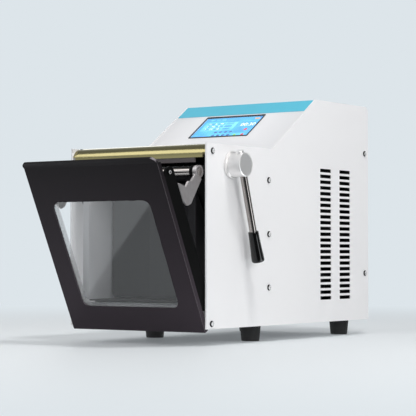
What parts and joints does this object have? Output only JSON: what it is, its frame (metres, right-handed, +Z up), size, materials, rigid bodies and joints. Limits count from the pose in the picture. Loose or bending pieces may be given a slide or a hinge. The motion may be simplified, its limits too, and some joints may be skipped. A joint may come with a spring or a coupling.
{
  "type": "paddle blender",
  "caption": "Paddle blender: metal housing on rubber feet, tilting windowed door, paddles that beat a bag, side lever with latch hooks, sloped top display.",
  "frame": {"origin": "middle of the bounding box's footprint, on the surface that the feet stand on", "axes": "+X to the lever side, +Y to the back, +Z up; the door faces -Y"},
  "size_m": [0.2456, 0.5212, 0.3298],
  "materials": {
    "white_paint": "satin",
    "dark_interior": "satin",
    "black_metal": "satin",
    "steel": "brushed",
    "zinc": "satin",
    "chrome": "polished",
    "aluminium": "brushed",
    "gold_anodised": "satin",
    "dark_iron": "satin",
    "bronze": "satin",
    "rubber": "matte",
    "black_plastic": "matte",
    "black_gloss": "gloss",
    "blue_screen": "gloss",
    "teal_film": "satin",
    "green_board": "satin",
    "clear_glass": "clear"
  },
  "bodies": {
    "housing": {"base_plate": "white_paint", "bulkhead": "dark_interior", "chamber_liner": "dark_interior", "control_board": "green_board", "crank_bearings": "steel", "display_bezel": "black_plastic", "display_glass": "clear_glass", "display_module": "blue_screen", "door_buffers": "rubber", "drive_belt": "rubber", "drive_frame": "aluminium", "fan_frame": "black_plastic", "fan_guard": "black_metal", "foot_screws": "chrome", "guide_bushes": "bronze", "hinge_pins": "steel", "label_strip": "teal_film", "left_side_panel": "white_paint", "lever_bushes": "bronze", "lintel": "dark_interior", "motor": "dark_iron", "nose_profile": "gold_anodised", "nose_screws": "black_metal", "panel_screws": "chrome", "pivot_studs": "steel", "power_inlet": "black_plastic", "power_supply": "aluminium", "rear_panel": "white_paint", "right_side_panel": "white_paint", "rod_seals": "rubber", "rubber_feet": "rubber", "top_cover": "white_paint"},
    "door": {"door_shell": "black_metal", "door_window": "clear_glass", "window_gasket": "rubber", "door_seal": "rubber", "door_arms": "black_metal", "latch_pins": "chrome"},
    "latch": {"latch_rod": "chrome", "latch_collars": "zinc", "latch_hooks": "zinc", "latch_sectors": "black_metal"},
    "lever": {"lever_shaft": "steel", "lever_hub": "aluminium", "lever_rod": "chrome", "lever_grip": "black_gloss", "latch_pinions": "steel"},
    "left_paddle": {"paddle_left": "steel", "guide_rods_left": "steel", "crosshead_left": "aluminium"},
    "right_paddle": {"paddle_right": "steel", "guide_rods_right": "steel", "crosshead_right": "aluminium"},
    "crank": {"crankshaft": "steel", "crank_pulley": "aluminium"},
    "motor_rotor": {"motor_pulley": "aluminium"},
    "left_rod": {"connecting_rod_left": "steel"},
    "right_rod": {"connecting_rod_right": "steel"},
    "fan": {"fan_rotor": "black_plastic"},
    "switch": {"power_switch": "black_plastic"}
  },
  "joints": [
    {"name": "lever_turn", "type": "hinge", "parent": "housing", "child": "lever", "pos_m": [0.1, -0.09867, 0.2295], "axis": [1, 0, 0], "range_deg": [0, 97.2]},
    {"name": "door_tilt", "type": "hinge", "parent": "housing", "child": "door", "pos_m": [-0.01112, -0.14797, 0.055], "axis": [-1, 0, 0], "range_deg": [0, 25.88]},
    {"name": "latch_swing", "type": "hinge", "parent": "housing", "child": "latch", "pos_m": [-0.01112, -0.10812, 0.13799], "axis": [-1, 0, 0], "range_deg": [0, 27.01]},
    {"name": "right_paddle_slide", "type": "slide", "parent": "housing", "child": "right_paddle", "axis": [0, 1, 0], "range_m": [0, 0.02]},
    {"name": "left_paddle_slide", "type": "slide", "parent": "housing", "child": "left_paddle", "axis": [0, -1, 0], "range_m": [0, 0.02]},
    {"name": "motor_turn", "type": "hinge", "parent": "housing", "child": "motor_rotor", "pos_m": [-0.078, 0.21053, 0.0712], "axis": [1, 0, 0], "continuous": true},
    {"name": "crank_turn", "type": "hinge", "parent": "housing", "child": "crank", "pos_m": [-0.01112, 0.16054, 0.1322], "axis": [1, 0, 0], "continuous": true},
    {"name": "right_rod_turn", "type": "hinge", "parent": "crank", "child": "right_rod", "pos_m": [0.03008, 0.15054, 0.1322], "axis": [1, 0, 0], "continuous": true},
    {"name": "left_rod_turn", "type": "hinge", "parent": "crank", "child": "left_rod", "pos_m": [-0.05233, 0.17053, 0.1322], "axis": [1, 0, 0], "continuous": true},
    {"name": "fan_turn", "type": "hinge", "parent": "housing", "child": "fan", "pos_m": [0.02888, 0.2465, 0.2762], "axis": [0, 1, 0], "continuous": true},
    {"name": "switch_rock", "type": "hinge", "parent": "housing", "child": "switch", "pos_m": [0.06888, 0.25514, 0.0902], "axis": [1, 0, 0], "range_deg": [0, 12]}
  ],
  "couplings": [
    {"joint": "door_tilt", "follows": "lever_turn", "ratio": 0.26615},
    {"joint": "latch_swing", "follows": "lever_turn", "ratio": 0.27778},
    {"joint": "left_paddle_slide", "follows": "right_paddle_slide", "ratio": 1},
    {"joint": "motor_turn", "follows": "crank_turn", "ratio": 2.5714},
    {"joint": "right_rod_turn", "follows": "crank_turn", "ratio": -1},
    {"joint": "left_rod_turn", "follows": "crank_turn", "ratio": -1}
  ]
}
